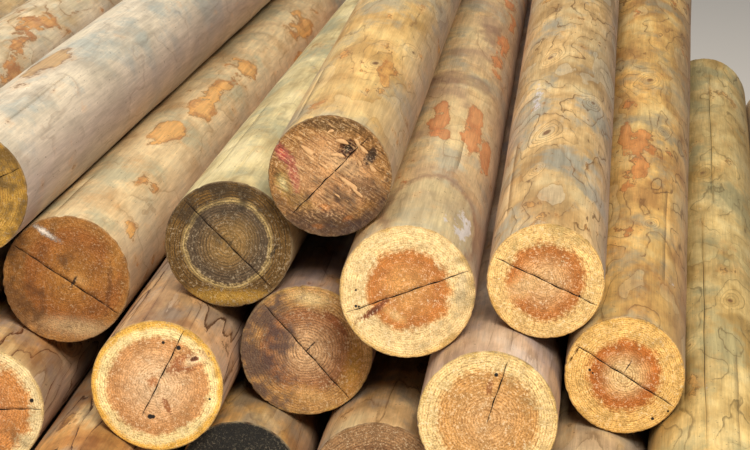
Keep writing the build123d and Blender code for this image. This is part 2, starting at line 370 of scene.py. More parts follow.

# %% [markdown]
# The sawn ends differ even more: fresh ones are straw yellow with a brown heart, and old ones have gone grey or olive.
# One end is painted nearly black, partly dark mould and partly the shadow of the poles above it, painted in. Knots that
# the saw met show as almond shapes, and beetles left a few round holes.

# %% The ends
KNOT_RIM, KNOT_EYE = "#8A4A20", "#C98C52"
ENDS = {
    "top_row_log_2": End("#AE8226", "#B68C38", "#A27630", "#A87C36", 0.5, "#5E4218", 0.7, "#4E3814", 0.7, 10, 24,
                         flecks=0.45),
    "third_row_log_3": End("#AE7C40", "#9C6A2E", "#965C22", "#A8722F", 0.7, "#5C3614", 0.45, "#4E2E12", 0.6, 190, 26,
                           0.7, flecks=0.3, pith=(6, 2),
                           # Partly painted highlight: a pale grey smear whose near-white middle paints the glint of its
                           # shine.
                           marks=(Mark(-20, 48, -32, 18, 3.5, "#9A9086", "#F2ECE4"),
                                  Mark(10, -50, -6, 50, 12, "#B08E66", "#CDB488", 0.6),
                                  Mark(50, 20, 70, 34, 10, "#A87434", "#B8823A", 0.6),
                                  Mark(44, -8, 84, 26, 3, "#6A3E16", "#5C3412", 0.6),
                                  Mark(14, 0, -32, 12, 6, "#C28E4C", "#D2A466", 0.5),
                                  # Painted shade: this near-black almond paints the shade inside a small check by the
                                  # pith.
                                  Mark(8, -2, 58, 7, 1.6, "#2A180C", "#1A0E06", 0.9))),
    "third_row_log_4": End("#6A4C1A", "#B09660", "#5C4A34", "#8C6C3C", 0.62, "#241A0C", 1.2, "#241A0C", 0.6, 100,
                           22, flecks=0.35, band_width=0.02, ragged=0.12,
                           # Painted shade: the near-black almonds by the pith and near the rim paint the shade inside
                           # small checks.
                           marks=(Mark(2, 0, 50, 8, 1.5, "#1E160C", "#140E08", 0.9),
                                  Mark(-4, -54, 0, 50, 8, "#A07A2C", "#BC9238", 0.75),
                                  Mark(4, 2, 40, 26, 20, "#846838", "#96763F", 0.4),
                                  Mark(46, -8, 60, 10, 2, "#2E2210", "#1E160A", 0.7))),
    "top_row_log_3": End("#94682E", "#A4743A", "#B08254", "#C09060", 0.6, "#5A3A1E", 0.15, "#3A2620", 0.75, 285, 22,
                         1.2, flecks=0.5, torn=3.2, pits=((17, 27, 8, 9), (40, 20, 6, 5), (24, 16, 6, 3)),
                         splinters=((-20, 23, -42, 26, 5.5), (-16, 17, -32, 14, 3), (22, -9, -36, 34, 5),
                                    (31, -18, -38, 26, 3.4), (12, 34, -20, 15, 4.5), (2, 32, -38, 12, 3),
                                    (27, 33, -62, 13, 4), (34, 27, -48, 12, 4), (8, 20, -12, 16, 4),
                                    (30, 12, -70, 11, 3.4), (43, 6, -60, 14, 4.5), (-2, 8, -34, 22, 3),
                                    (12, -22, -33, 20, 2.4), (-30, 8, -38, 13, 2.6), (2, 44, 8, 10, 3)),
                         marks=(Mark(14, 12, -35, 42, 18, "#C8945E", "#E2B886", 0.75),
                                Mark(0, 52, -4, 40, 8, "#6A4E24", "#4E3A1A", 0.7),
                                Mark(-30, -24, -40, 20, 10, "#A07836", "#B48E48", 0.6),
                                Mark(-6, -32, 10, 7, 4, "#B8702E", "#CC8438", 0.8),
                                # Painted shade: these two near-black almonds lie over the pits in the torn face and
                                # paint the shade inside them.
                                Mark(17, 27, 70, 10, 8, "#5A2A12", "#140A06", 1.0),
                                Mark(40, 20, 60, 10, 6, "#3E2A20", "#140C08", 0.95),
                                Mark(-46, 22, -60, 12, 6, "#B8605A", "#D6484E", 0.75),
                                Mark(-36, 4, -80, 20, 5, "#B8605A", "#B84A46", 0.6),
                                Mark(-46, -8, -70, 12, 7, "#C2A860", "#E6DCA0", 0.7),
                                Mark(34, -12, -30, 22, 10, "#4A2E22", "#35221C", 0.6),
                                Mark(4, -48, -8, 46, 14, "#46302A", "#2E1E1C", 0.75),
                                Mark(-12, -50, 0, 6, 3, "#A8642A", "#BE7632", 0.7),
                                Mark(18, -42, 20, 6, 3, "#A8642A", "#BE7632", 0.7))),
    "third_row_log_5": End("#E2BA70", "#EED096", "#B8702E", "#CE9250", 0.55, "#B4864A", 0.8, "#80704A", 0.3, 0, 27,
                           pith=(0, 2), flecks=0.7, holes=((-50, -15, 1.5), (-47, -15.5, 1.1), (-50, 1, 1.1)),
                           marks=(Mark(-32, -18, 36, 19, 3.6, KNOT_RIM, "#6A3416", 1.0),
                                  Mark(-12, -24, -30, 14, 6, "#D2A060", "#E6C488", 0.6),
                                  Mark(52, 4, 80, 18, 5, "#A8A086", "#9A947C", 0.45))),
    "third_row_log_6": End("#E6B864", "#ECC680", "#B6702F", "#DCB07A", 0.60, "#A06C38", 0.9, "#8A7A46", 0.3, 90, 27,
                           holes=((33, -14, 1.1),), flecks=0.8,
                           marks=(Mark(-24, -6, 30, 22, 10, "#D8AC70", "#E6C48C", 0.6),)),
    "second_row_log_7": End("#E8B85E", "#ECC070", "#BE6E26", "#E6C48A", 0.54, "#9A6028", 0.95, "#7A5A2A", 0.2, 40, 26,
                            holes=((-34, 5, 1.4), (-31, 2, 1.0), (28, -43, 1.6), (43, -35, 1.2)), flecks=0.7,
                            # Painted shade: this near-black almond paints the shade inside a check across the pith.
                            marks=(Mark(3, 8, 62, 9, 0.7, "#4A2A12", "#1E1008", 0.9),)),
    "second_row_log_5": End("#C89A48", "#BE9054", "#A06C42", "#D0A678", 0.62, "#5A3A20", 1.0, "#463638", 0.85, 186, 24,
                            flecks=0.5,
                            # Painted shade: the first, near-black almond paints the shade inside a check across the
                            # pith.
                            marks=(Mark(4, 4, 45, 9, 0.8, "#3A2212", "#1E1008", 0.9),
                                   Mark(30, 30, -50, 16, 4, "#8E4E28", "#9C5A2E", 0.7),
                                   Mark(46, -20, 78, 28, 10, "#B8823A", "#D09A44", 0.75),
                                   Mark(4, -46, -14, 26, 10, "#C49456", "#D8AC6C", 0.6),
                                   Mark(4, 54, -10, 24, 8, "#C8A870", "#DFC68E", 0.75))),
    "second_row_log_4": End("#E8B44A", "#F6DE9E", "#CA925A", "#E2BC90", 0.72, "#A87644", 0.9, "#7A5A2C", 0.12, 0, 26,
                            flecks=0.6, band_width=0.08, ragged=0.2,
                            marks=(Mark(30, 24, 26, 20, 8, "#96552A", "#B26E3C", 0.9),
                                   Mark(37, 27, 26, 11, 5, "#F0CC98", "#F6DAB0", 0.95),
                                   Mark(37, 28, 20, 4, 2.4, "#7A4020", "#4A2410", 1.0),
                                   Mark(9, -20, -60, 9, 2.8, KNOT_RIM, "#A0602C"),
                                   Mark(-4, 3, 30, 6, 5, "#B87A48", "#A8642E", 0.8)),
                            holes=((22, 39, 2.4), (7, 44, 1.6), (-7, -31, 2.6), (-4, -31, 2.0), (52, -12, 1.2))),
    "second_row_log_6": End("#E8C474", "#F0D090", "#CE9A58", "#D0A066", 0.66, "#9A6630", 1.0, "#8A6A34", 0.2, 30, 24,
                            flecks=0.8, holes=((8, 45, 2.0),),
                            marks=(Mark(2, 33, 80, 8, 3, "#8E5224", "#7A4018", 0.7),)),
    "second_row_log_3": End("#EACA88", "#F0DAA4", "#D08C48", "#CA8850", 0.72, "#9A6230", 0.85, "#6A4A28", 0.35, 270,
                            24, holes=((51, 10, 2.2),), band_width=0.12),
    # Partly painted shadow: this end is near black, partly dark mould and partly the shadow of the poles above, painted
    # in.
    "ground_row_log_5": End("#17130D", "#17140E", "#100F0A", "#222016", 0.6, "#0A0806", 0.4, "#080706", 0.5, 90, 24,
                            0.6, flecks=0.2),
    "ground_row_log_6": End("#8E663A", "#98724A", "#805834", "#84603A", 0.6, "#3E2816", 0.8, "#2A2018", 0.8, 270, 24,
                            1.0, flecks=0.5),
}
print("Ends described:", len(ENDS))

# %% [markdown]
# A drying log shrinks most around its rings, so its ends crack open from the pith outwards. The CAD solids have these
# cracks as slots, and the same slopes and reaches are repeated here: the front crack's slope and how far it runs each
# way from the pith, and then the slope of the one at the back.

# %% The cracks on the ends
CRACKS = {
    "ground_row_log_1": (62, 1, 1, -15), "ground_row_log_2": (-20, 1, 1, 40), "ground_row_log_3": (15, 1, 1, 70),
    "ground_row_log_4": (-55, 1, 1, 8), "ground_row_log_5": (35, 1, 1, -48), "ground_row_log_6": (-12, 1, 0.2, 22),
    "ground_row_log_7": (48, 1, 1, -66), "ground_row_log_8": (-38, 1, 1, 30), "wedged_log": (-70, 1, 1, 12),
    "second_row_log_1": (-62, 1, 1, 25), "second_row_log_2": (18, 1, 1, -42), "second_row_log_3": (1, 1, 1, 58),
    "second_row_log_4": (64, 0.52, 1, -8), "second_row_log_5": (-48, 1, 1, 36),
    "second_row_log_6": (72, 0.05, 0.92, -27), "second_row_log_7": (-32, 1, 1, 14),
    "third_row_log_1": (44, 1, 1, -5), "third_row_log_2": (-18, 1, 1, 66), "third_row_log_3": (-33, 1, 1, 50),
    "third_row_log_4": (-45, 1, 1, 9), "third_row_log_5": (20, 1, 1, -35), "third_row_log_6": (-25, 1, 1, 60),
    "top_row_log_1": (30, 1, 1, -20), "top_row_log_2": (26, 1, 1, -52), "top_row_log_3": (46, 0.93, 0.91, 3),
}
CRACK_WIDTH = 1.25
CRACK_DEPTH = 26.0
print("Poles with cracks:", len(CRACKS))

# %% [markdown]
# A pole's side is a grid of points: columns run along the pole and rows run round it. The rows stand close together at
# the front, where the camera looks from near by, and further apart towards the back. Three extra rows at each end
# round off the worn rim. The grid never stands out beyond the CAD solid: every hollow goes inwards.

# %% The grid of a side
COLUMNS = 120
COLUMN_STEP = 360 / COLUMNS
FIRST_ROW_STEP = 8.0
ROW_GROWTH = 1.012
RIM_ANGLES = (0, 35, 90)


def row_places(length, first_step):
    """Distances from the front face to the rows of a pole's side, in millimetres."""
    wear = RIM_WEAR / MM
    rim = [wear * (1 - np.cos(np.radians(angle))) for angle in RIM_ANGLES]
    places = [rim[-1] + 2.5]
    step = first_step
    while places[-1] + 1.5 * step < length - wear - 2.5:
        places.append(places[-1] + step)
        step *= ROW_GROWTH
    return np.array(rim + places + [length - wear - 2.5] + [length - place for place in reversed(rim)])


def smooth_step(low, high, value):
    """0 below low, 1 above high, and a soft rise between them."""
    share = np.clip((value - low) / (high - low), 0, 1)
    return share * share * (3 - 2 * share)


def waves(random, angle, along, turns, run, count=10):
    """A soft random relief between about -1 and 1. It closes round the pole and has up to so many turns."""
    total = np.zeros(np.broadcast(angle, along).shape)
    for _ in range(count):
        turn = random.integers(0, turns + 1)
        pace = random.normal() * 2 * np.pi / run
        total += np.cos(turn * angle + pace * along + random.uniform(0, 2 * np.pi))
    return total / np.sqrt(2 * count)


print("Rows on a 2.4 m pole:", len(row_places(2400, FIRST_ROW_STEP)))

# %% [markdown]
# A split is a crack that opens along the side while the wood dries. On the grid, three neighbouring columns are drawn
# together along its line, and the middle one goes down into the wood. That gives a sharp, narrow groove without a fine
# grid everywhere. Knots swell the surface a little, because the hard wood resists the peeling knife.

# %% Splits, knots and stains on the grid
KNOT_RUN = 3.0
KNOT_LEAN = 1.4


def around(angle, centre):
    """The shortest way round from a centre angle, in radians."""
    return (angle - np.radians(centre) + np.pi) % (2 * np.pi) - np.pi


def cut_splits(splits, angle, along, radius, random):
    """Draw columns together along each split, and return the new angles, the depths and the split's weight."""
    depth = np.zeros_like(angle)
    weight = np.zeros_like(angle)
    rows = along[:, 0]
    for centre, start, stop, width, deepest in splits:
        share = np.clip((rows - start) / (stop - start), 0, 1)
        open_share = np.sqrt(np.clip(4 * share * (1 - share), 0, 1))
        hold = smooth_step(start - 25, start + 10, rows) * (1 - smooth_step(stop - 10, stop + 25, rows))
        sway = np.sin(rows / 90 + random.uniform(0, 6)) + 0.5 * np.sin(rows / 31 + random.uniform(0, 6))
        path = np.radians(centre) + 0.55 / radius[:, 0] * sway
        middle = int(round((np.radians(centre) - angle[0, 0]) / np.radians(COLUMN_STEP))) % COLUMNS
        for side in (-1, 0, 1):
            column = (middle + side) % COLUMNS
            target = path + side * (0.12 + 0.5 * width * open_share) / radius[:, 0]
            angle[:, column] += hold * ((target - angle[:, column] + np.pi) % (2 * np.pi) - np.pi)
        depth[:, middle] = deepest * open_share
        weight[:, middle] = open_share
    return angle, depth, weight


def side_marks(side, angle, along, radius):
    """Fields for the shader: how near a knot is, and how much a placed stain, veil or sap crust adds."""
    knot = np.zeros_like(angle)
    for centre, place, size in side.knots:
        across = around(angle, centre) * radius / size
        run = (along - place) / size + KNOT_LEAN * across
        knot = np.maximum(knot, np.exp(-across ** 2 - (run / KNOT_RUN) ** 2))
    patches = []
    for marks in (side.spots, side.veils, side.sap):
        patch = np.zeros_like(angle)
        for centre, place, half_width, half_length, strength in marks:
            across = around(angle, centre) * radius / half_width
            near = across ** 2 + ((along - place) / half_length) ** 2
            patch = np.maximum(patch, strength * np.exp(-near ** 2))
        patches.append(patch)
    return {"knot": knot, "stain": patches[0], "veil": patches[1], "sap": patches[2]}


# %% [markdown]
# Now the side's points: the pole's radius, less the worn rim, less soft dents that peeling leaves, and with the knots
# left standing. Small nicks eat into the rim, where the saw tore out fibres. Beside the tips of a crack the rim stays
# even, because there the grid of the sawn face is too narrow to follow a nick without folding over.

# %% The points of a side
DENT_DEPTH = 1.0
KNOT_RISE = 0.6
NICK_DEPTH = 1.4


def side_points(side, length, front_radius, back_radius, slopes, first_step, random):
    """The grid of a pole's side in local millimetres, and the fields that its shader reads."""
    rows = row_places(length, first_step)
    share = rows / length
    front_start = slopes[0] % COLUMN_STEP
    back_start = (180 - slopes[1]) % COLUMN_STEP
    back_start += COLUMN_STEP * round((front_start - back_start) / COLUMN_STEP)
    start = front_start + (back_start - front_start) * share
    angle = np.radians(start[:, None] + COLUMN_STEP * np.arange(COLUMNS)[None, :])
    along = np.repeat(rows[:, None], COLUMNS, axis=1)
    radius = (front_radius + (back_radius - front_radius) * share)[:, None] + np.zeros_like(angle)
    angle, depth, split = cut_splits(side.splits, angle, along, radius, random)
    fields = side_marks(side, angle, along, radius)
    dents = 0.5 + 0.5 * np.clip(waves(random, angle, along, 3, 700), -1, 1)
    ripple = 0.5 + 0.5 * np.clip(waves(random, angle, along, 14, 260), -1, 1)
    from_end = np.minimum(along, length - along)
    wear = RIM_WEAR / MM
    worn = wear - np.sqrt(np.clip(wear ** 2 - (wear - np.minimum(from_end, wear)) ** 2, 0, None))
    chips = np.clip(waves(random, angle, along, 55, 4000, 30) - 0.2, 0, 1)
    crack_slope = np.radians(np.where(along < length / 2, slopes[0], -slopes[1]))
    beside_crack = smooth_step(0.10, 0.40, np.abs(np.sin(angle - crack_slope)))
    nicks = NICK_DEPTH * chips * beside_crack * (1 - smooth_step(1, 6, from_end))
    sunk = np.maximum(DENT_DEPTH * dents + 0.2 * ripple - KNOT_RISE * fields["knot"], 0)
    final = radius - worn - nicks - sunk - depth * smooth_step(4, 12, from_end)
    points = np.stack([final * np.cos(angle), along, final * np.sin(angle)], axis=-1)
    return points, {**fields, "split": split, "radius": radius * MM}


# %% [markdown]
# A sawn end is a disc with a crack across it. A plain fan of triangles would have to be cut open with a boolean, which
# leaves ragged triangles. Here the disc is built as two halves from the start, one on each side of the crack. Columns
# run from the crack's lip to the rim and end in the points of the side's first row, so the two meshes share their edge.
# Below the lips, two walls close inwards to a line, as in a wedge.

# %% The points of an end
END_ROWS = 16
TORN_ROWS = 40
TORN_SLOPE = -33
FULL_WANDER = 0.6


def crack_profile(u, low, high):
    """How open the crack is at u, from 0 at its tips to 1."""
    share = np.clip((u - low) / (high - low), 0, 1)
    return np.clip(4 * share * (1 - share), 0, 1) ** 0.35


def end_relief(end, x, z, random_state):
    """How deep the sawn face lies at a point: saw marks, or torn ridges where the fibres came away, and pits."""
    random = np.random.default_rng(random_state)
    saw = 0.5 + 0.5 * np.sin((x * random.uniform(0.5, 0.9) + z) / 4.1 + 1.2 * np.sin(x / 17) + 0.9 * np.sin(z / 11))
    ripple = np.zeros_like(x)
    for _ in range(12):
        heading = random.uniform(0, np.pi)
        pace = 2 * np.pi / random.uniform(7, 26)
        ripple += np.sin((x * np.cos(heading) + z * np.sin(heading)) * pace + random.uniform(0, 6))
    ripple = np.clip(0.5 + ripple / 7, 0, 1)
    depth = end.relief * (0.3 * saw + 0.7 * ripple)
    if end.torn:
        slope = np.radians(TORN_SLOPE)
        run = x * np.cos(slope) + z * np.sin(slope)
        across = z * np.cos(slope) - x * np.sin(slope)
        ridges = np.zeros_like(x)
        for _ in range(14):
            sway = random.uniform(1, 4) * np.sin(run / random.uniform(9, 22) + random.uniform(0, 6))
            ridges += np.sin((across + sway) * 2 * np.pi / random.uniform(5, 15) + random.uniform(0, 6))
        ridges = np.floor(4 * np.clip(0.5 + ridges / 8, 0, 1)) / 4
        depth += end.torn * (0.65 * ridges + 0.35 * ripple)
    for pit_x, pit_z, size, deepest in end.pits:
        away = np.hypot(x - pit_x, z - pit_z) / size
        depth += deepest * np.exp(-away ** 3)
    return depth


def end_blocks(end, ring, slope, reach, inward, seed):
    """The two halves of a sawn face and the crack's walls, as grids of points. Ring is the side's row at this end."""
    turn = np.radians(slope)
    u_ring = ring[:, 0] * np.cos(turn) + ring[:, 2] * np.sin(turn)
    v_ring = ring[:, 2] * np.cos(turn) - ring[:, 0] * np.sin(turn)
    first = int(np.argmax(u_ring - 4 * np.abs(v_ring)))
    radius = np.hypot(u_ring, v_ring).mean()
    low, high = -reach[0] * (radius - 0.6), reach[1] * (radius - 0.6)
    random = np.random.default_rng(seed)
    phases = random.uniform(0, 6, 3)
    face_y = ring[:, 1].mean()

    def place(u, v, deeper):
        x = u * np.cos(turn) - v * np.sin(turn)
        z = u * np.sin(turn) + v * np.cos(turn)
        from_rim = radius - np.hypot(x, z)
        relief = end_relief(end, x, z, seed) * smooth_step(0, 5, from_rim)
        return np.stack([x, face_y + inward * (relief + deeper), z], axis=-1)

    blocks = []
    row_count = TORN_ROWS if end.torn else END_ROWS
    rows = np.linspace(0, 1, row_count + 1)[:, None]
    for half in (1, -1):
        picks = (first + half * np.arange(COLUMNS // 2 + 1)) % COLUMNS
        u, v = u_ring[picks], v_ring[picks]
        opened = crack_profile(u, low, high)
        rim_fade = smooth_step(0, 9, radius - np.abs(u))
        sway = (np.sin(u / 6.5 + phases[0]) + np.sin(u / 2.7 + phases[1]) * 0.6) * 0.5
        line = FULL_WANDER * sway * rim_fade
        width = CRACK_WIDTH * opened * (0.8 + 0.3 * np.sin(u / 3.1 + phases[2]))
        lip = line * (np.abs(v) > 1e-6) + half * width / 2
        lip = np.where(np.abs(v) < 1.2, v, lip)
        u_grid = np.repeat(u[None, :], row_count + 1, axis=0)
        v_grid = lip[None, :] + (v - lip)[None, :] * rows
        flip = (half > 0) == (inward > 0)
        face = place(u_grid, v_grid, 0.0)
        face[-1] = ring[picks]
        blocks.append((face, flip, "end"))
        deep = CRACK_DEPTH * opened
        closing = np.where(np.abs(v) < 1.2, v, line)
        walls = [place(u, lip + (closing - lip) * level, deep * level) for level in (0.0, 0.45, 1.0)]
        blocks.append((np.stack(walls), not flip, "crack"))
    return blocks


# %% [markdown]
# Where a cut tore, loose splinters stay on the face. Each is a thin blade, thickest in its middle and pointed at both
# ends. One tip is still rooted in the wood and the other stands free, but it never leaves the hollow of the torn face.

# %% Splinters on a torn end
BLADE_ROWS = 9
BLADE_SIDES = 8
FREE_TIP_DEPTH = 0.3
ROOT_TIP_DEPTH = 4.2


def splinter(x, z, slant, length, width, bow):
    """A pointed blade of wood on the front face, as a grid of points round its length."""
    share = np.linspace(0, 1, BLADE_ROWS)[:, None]
    turn = np.radians(slant)
    along = (share - 0.5) * length
    swell = np.sin(np.pi * share) ** 0.7
    circle = np.linspace(0, 2 * np.pi, BLADE_SIDES, endpoint=False)[None, :]
    across = 0.5 * width * swell * np.cos(circle) + bow * np.sin(np.pi * share)
    depth = FREE_TIP_DEPTH + (ROOT_TIP_DEPTH - FREE_TIP_DEPTH) * share ** 1.5
    y = depth + 0.16 * width * swell * (1 + np.sin(circle))
    along = along + np.zeros_like(across)
    return np.stack([x + along * np.cos(turn) - across * np.sin(turn), y,
                     z + along * np.sin(turn) + across * np.cos(turn)], axis=-1)


print("Points on a splinter:", splinter(0, 0, 0, 20, 4, 1).size // 3)

# %% [markdown]
# The blocks of points become one closed mesh. Each block gives a row of four-sided faces between neighbouring points,
# and points that lie on top of each other are then welded. The fields for the shader are kept as attributes: numbers
# on the points that a material can read.

# %% From blocks to a mesh
SLOTS = {"side": 0, "end": 1, "crack": 2, "splinter": 3}
WELD = 1e-6


def grid_faces(row_count, column_count, closed, flip, first):
    """Faces between neighbouring points of a grid whose points are numbered from first."""
    numbers = first + np.arange(row_count * column_count).reshape(row_count, column_count)
    if closed:
        numbers = np.concatenate([numbers, numbers[:, :1]], axis=1)
    corners = [numbers[:-1, :-1], numbers[:-1, 1:], numbers[1:, 1:], numbers[1:, :-1]]
    if flip:
        corners.reverse()
    return np.stack(corners, axis=-1).reshape(-1, 4)


def build_mesh(name, matrix, blocks):
    """Blocks of (points, closed, flip, slot, fields) welded into one mesh, in metres and in the stack's frame."""
    points, faces, slots = [], [], []
    fields = {"knot": [], "stain": [], "veil": [], "sap": [], "split": [], "radius": []}
    count = 0
    for grid, closed, flip, slot, marks in blocks:
        faces.append(grid_faces(grid.shape[0], grid.shape[1], closed, flip, count))
        slots.append(np.full(len(faces[-1]), SLOTS[slot]))
        points.append(grid.reshape(-1, 3) * MM)
        for key in fields:
            fields[key].append(marks[key].ravel() if key in marks else np.zeros(len(points[-1])))
        count += len(points[-1])
    own = np.concatenate(points)
    turn = np.array(matrix.to_3x3())
    mesh = bpy.data.meshes.new(name)
    mesh.from_pydata((own @ turn.T + np.array(matrix.translation)).tolist(), [], np.concatenate(faces).tolist())
    mesh.polygons.foreach_set("material_index", np.concatenate(slots).astype(np.int32))
    for key, values in fields.items():
        mesh.attributes.new(key, "FLOAT", "POINT").data.foreach_set("value", np.concatenate(values).astype(np.float32))
    mesh.attributes.new("place", "FLOAT_VECTOR", "POINT").data.foreach_set("vector", own.astype(np.float32).ravel())
    work = bmesh.new()
    work.from_mesh(mesh)
    bmesh.ops.remove_doubles(work, verts=work.verts, dist=WELD)
    bmesh.ops.dissolve_degenerate(work, edges=work.edges, dist=WELD)
    work.to_mesh(mesh)
    work.free()
    mesh.shade_smooth()
    return mesh


# %% [markdown]
# ## Peeled pine
# Debarked pine is bare wood that the peeling knife left smooth, and that rain and sun have begun to grey. Where the
# knife crossed the growth layers, their edges show as contour lines, like heights on a map. Patches of inner bark stay
# behind as orange or brown islands with sharp outlines. The shader follows that: one soft noise field gives the
# heights, and its whole steps give the lines and a slightly different tone for each layer. A second field, helped by
# the stain
# attribute, gives the islands: dark at their shores and golden inside. Both are drawn out along the pole, because
# everything in wood runs with the grain. Low on its flanks a pole is painted a dull grey pink, partly grey weathering
# and partly the cool shade that falls there, painted in.

# %% Peeled side
WOOD_IOR = 1.53
TONE_SIZE = 60 * MM
FIGURE_SIZE = 70 * MM
STAIN_SIZE = 40 * MM
STREAK_SIZE = 7 * MM
GRAIN_SIZE = 1.6 * MM
SPECK_SIZE = 3.0 * MM


def stretched_noise(tree, place, offset, size, run, detail=2.0, roughness=0.5):
    """Noise with patches of a given size, drawn out along the pole by a factor."""
    mapped = add(tree, "Mapping", {"Vector": place, "Location": offset, "Scale": (1 / size, 1 / size / run, 1 / size)})
    return add(tree, "TexNoise", {"Vector": mapped, "Scale": 1.0, "Detail": detail, "Roughness": roughness})


def peeled_pine(name, side, offset):
    """Bare peeled pine, weathered, for one pole's side."""
    material, tree = new_material(name)
    place = add(tree, "Attribute", attribute_name="place").outputs["Vector"]
    knot, stain, veil, sap, split, radius = [
        add(tree, "Attribute", attribute_name=field).outputs["Fac"]
        for field in ("knot", "stain", "veil", "sap", "split", "radius")]
    streaks = stretched_noise(tree, place, offset, STREAK_SIZE, 18.0, 4.0, 0.65)

    # Partly painted light and shade: the tone field mixes the wood, its shade tone and pale patches into a soft dapple
    # of sun and shade, partly the wood's own tone that differs at random.
    tone = stretched_noise(tree, place, offset, TONE_SIZE, 2.6, 5.0, 0.6)
    shady = add(tree, "MapRange", {"Value": tone, "From Min": 0.47, "From Max": 0.62})
    colour = add(tree, "Mix", {0: shady, 6: linear(side.wood), 7: linear(side.shade)}, data_type="RGBA")
    fresh_and_sunlit = add(tree, "MapRange", {"Value": tone, "From Min": 0.47, "From Max": 0.36, "To Max": 0.75})
    colour = add(tree, "Mix", {0: fresh_and_sunlit, 6: colour, 7: linear(side.fresh_and_sunlit)}, data_type="RGBA")
    weather = stretched_noise(tree, place, [c + 3.1 for c in offset], 1.3 * TONE_SIZE, 2.5, 6.0, 0.65)
    weather = add(tree, "Math", {0: streaks, 1: 0.10, 2: weather}, operation="MULTIPLY_ADD")
    weather = add(tree, "MapRange", {"Value": weather, "From Min": 0.55, "From Max": 0.66, "To Max": 0.85})
    colour = add(tree, "Mix", {0: weather, 6: colour, 7: linear(side.grey)}, data_type="RGBA")
    # Partly painted shade: lower on the flanks the colour turns grey pink, partly grey weathering and partly the cool
    # shade that falls there, painted in.
    lift = add(tree, "SeparateXYZ", {"Vector": place}).outputs["Z"]
    lift = add(tree, "Math", {0: lift, 1: radius}, operation="DIVIDE")
    lift = add(tree, "Math", {0: tone, 1: 0.8, 2: lift}, operation="MULTIPLY_ADD")
    flank_weather_and_shade = add(tree, "MapRange", {"Value": lift, "From Min": 1.20, "From Max": 0.55, "To Max": 0.7})
    colour = add(tree, "Mix", {0: flank_weather_and_shade, 6: colour, 7: linear(side.flank_weather_and_shade)}, data_type="RGBA")

    heights = stretched_noise(tree, place, [c + 7.7 for c in offset], FIGURE_SIZE, side.run, 3.0, 0.40)
    raised = add(tree, "Math", {0: knot, 1: 0.45, 2: heights}, operation="MULTIPLY_ADD")
    rough_edge = add(tree, "Math", {0: streaks, 1: 0.04, 2: raised}, operation="MULTIPLY_ADD")
    steps = add(tree, "Math", {0: rough_edge, 1: 5.0 + 6.0 * side.figure}, operation="MULTIPLY")
    part = add(tree, "Math", {0: steps}, operation="FRACT")
    whole = add(tree, "Math", {0: steps}, operation="FLOOR")
    chance = add(tree, "TexWhiteNoise", {"W": whole}, noise_dimensions="1D")
    other_chance = add(tree, "TexWhiteNoise", {"W": add(tree, "Math", {0: whole, 1: 57.3}, operation="ADD")},
                       noise_dimensions="1D")
    layer = add(tree, "MapRange", {"Value": chance.outputs["Value"], "To Min": 1.0 - 0.20 * side.figure,
                                   "To Max": 1.04 + 0.16 * side.figure})
    colour = add(tree, "VectorMath", {0: colour, "Scale": layer}, operation="SCALE")
    cool = add(tree, "MapRange", {"Value": other_chance.outputs["Value"], "From Min": 0.45, "From Max": 0.60,
                                  "To Max": 0.55 * side.figure})
    colour = add(tree, "Mix", {0: cool, 6: colour, 7: linear(side.grey)}, data_type="RGBA")
    faint = stretched_noise(tree, place, [c + 5.2 for c in offset], 0.6 * TONE_SIZE, 2.0, 4.0, 0.6)
    faint = add(tree, "MapRange", {"Value": faint, "From Min": 0.36, "From Max": 0.50})
    bold = add(tree, "MapRange", {"Value": chance.outputs["Value"], "From Min": 0.1, "From Max": 0.6, "To Min": 0.45})
    wash = add(tree, "MapRange", {"Value": part, "From Min": 0.0, "From Max": 0.4, "To Min": 0.42 * side.figure,
                                  "To Max": 0.0})
    thin = add(tree, "MapRange", {"Value": part, "From Min": 0.04, "From Max": 0.13,
                                  "To Min": 0.15 + 0.85 * side.figure, "To Max": 0.0})
    thin = add(tree, "Math", {0: thin, 1: faint}, operation="MULTIPLY")
    line = add(tree, "Math", {0: wash, 1: thin}, operation="MAXIMUM")
    line = add(tree, "Math", {0: line, 1: bold}, operation="MULTIPLY")
    colour = add(tree, "Mix", {0: line, 6: colour, 7: linear(side.line)}, data_type="RGBA")

    tide = stretched_noise(tree, place, [c + 9.4 for c in offset], STAIN_SIZE, 2.0, 6.0, 0.7)
    tide = add(tree, "Math", {0: tide, 1: 0.7, 2: veil}, operation="MULTIPLY_ADD")
    tide = add(tree, "Math", {0: streaks, 1: 0.30, 2: tide}, operation="MULTIPLY_ADD")
    within = add(tree, "MapRange", {"Value": tide, "From Min": 1.08, "From Max": 1.25, "To Max": 0.45})
    colour = add(tree, "Mix", {0: within, 6: colour, 7: linear(side.damp)}, data_type="RGBA")
    off_shore = add(tree, "Math", {0: tide, 1: 1.05}, operation="SUBTRACT")
    off_shore = add(tree, "Math", {0: off_shore}, operation="ABSOLUTE")
    shore = add(tree, "MapRange", {"Value": off_shore, "From Min": 0.16, "From Max": 0.02, "To Max": 0.6})
    colour = add(tree, "Mix", {0: shore, 6: colour, 7: linear("#8E6A54")}, data_type="RGBA")
    islands = stretched_noise(tree, place, [c + 1.3 for c in offset], STAIN_SIZE, 3.2, 5.0, 0.6)
    islands = add(tree, "Math", {0: islands, 1: 1.5, 2: -0.25}, operation="MULTIPLY_ADD")
    islands = add(tree, "Math", {0: stain, 1: 0.24, 2: islands}, operation="MULTIPLY_ADD")
    islands = add(tree, "Math", {0: streaks, 1: 0.20, 2: islands}, operation="MULTIPLY_ADD")
    edge = 0.88 - 0.24 * side.stained
    bark = add(tree, "MapRange", {"Value": islands, "From Min": edge, "From Max": edge + 0.05})
    fading = add(tree, "MapRange", {"Value": islands, "From Min": edge, "From Max": edge + 0.16, "To Min": 0.9,
                                    "To Max": 0.7})
